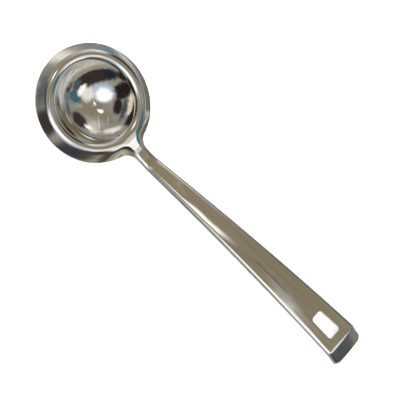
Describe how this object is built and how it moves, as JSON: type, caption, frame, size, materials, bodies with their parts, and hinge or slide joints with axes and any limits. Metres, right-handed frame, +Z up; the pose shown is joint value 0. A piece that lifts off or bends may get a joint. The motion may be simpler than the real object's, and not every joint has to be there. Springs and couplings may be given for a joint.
{
  "type": "serving spoon",
  "caption": "Polished stainless serving spoon with a round shallow bowl, a turned-down lip, and a wide arched handle that has a hanging slot and a bent tip.",
  "frame": {"origin": "on the table under the middle of the spoon's overall box", "axes": "+X along the handle from the bowl to the tip, +Z up from the table, with the spoon lying on its bowl and tip"},
  "size_m": [0.3112, 0.09, 0.0241],
  "materials": {
    "polished_steel": "mirror polished stainless sheet",
    "ground_weld": "stainless weld, ground and polished on top, left as a low bead underneath"
  },
  "bodies": {
    "root": {"bowl": "polished_steel", "handle": "polished_steel", "neck_weld": "ground_weld"}
  },
  "joints": []
}
